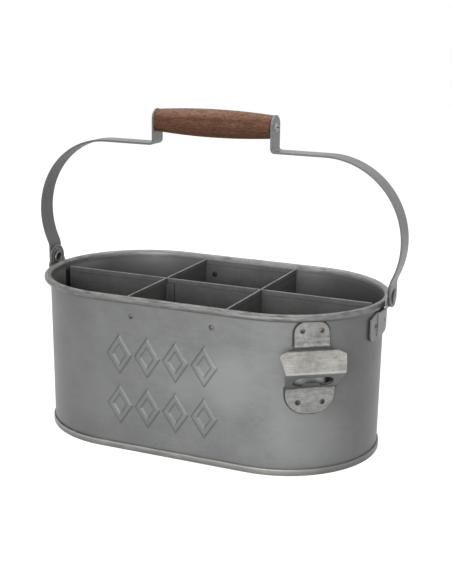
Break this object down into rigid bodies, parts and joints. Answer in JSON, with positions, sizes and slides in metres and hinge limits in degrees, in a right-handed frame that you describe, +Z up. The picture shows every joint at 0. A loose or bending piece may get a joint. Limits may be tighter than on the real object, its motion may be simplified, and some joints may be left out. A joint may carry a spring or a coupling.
{
  "type": "bottle caddy",
  "caption": "Oblong sheet-metal bottle caddy with a riveted divider insert, a swinging strap handle with a turned wooden grip, and a stamped bottle opener on one end.",
  "frame": {"origin": "centre of the tub's foot on the surface it stands on", "axes": "+X along the tub towards the end with the opener, -Y the front with the opener, +Z up"},
  "size_m": [0.3906, 0.2114, 0.3257],
  "materials": {
    "galvanised_wall": "satin galvanised zinc, aged",
    "divider_sheet": "dull galvanised zinc",
    "steel_wire": "drawn wire",
    "strap_steel": "satin galvanised strip",
    "rivet_steel": "steel with light rust",
    "screw_steel": "bright zinc plate",
    "opener_steel": "raw pressed steel, worn",
    "turned_wood": "oiled open-grained hardwood"
  },
  "bodies": {
    "tub": {"tub_wall": "galvanised_wall", "floor_pan": "galvanised_wall", "rim_wire": "steel_wire", "long_divider": "divider_sheet", "front_cell_frame": "divider_sheet", "back_cell_frame": "divider_sheet", "front_frame_rivets": "rivet_steel", "back_frame_rivets": "rivet_steel", "left_ear_bracket": "strap_steel", "right_ear_bracket": "strap_steel", "left_bracket_rivets": "rivet_steel", "right_bracket_rivets": "rivet_steel", "left_pivot_rivet": "rivet_steel", "right_pivot_rivet": "rivet_steel", "bottle_opener": "opener_steel", "opener_upper_rivets": "rivet_steel", "opener_lower_rivets": "rivet_steel"},
    "handle": {"left_handle_strap": "strap_steel", "right_handle_strap": "strap_steel", "wooden_grip": "turned_wood", "left_grip_screw": "screw_steel", "right_grip_screw": "screw_steel"}
  },
  "joints": [
    {"name": "handle_swing", "type": "hinge", "parent": "tub", "child": "handle", "pos_m": [0, 0, 0.1608], "axis": [1, 0, 0], "range_deg": [-125, 125]}
  ]
}
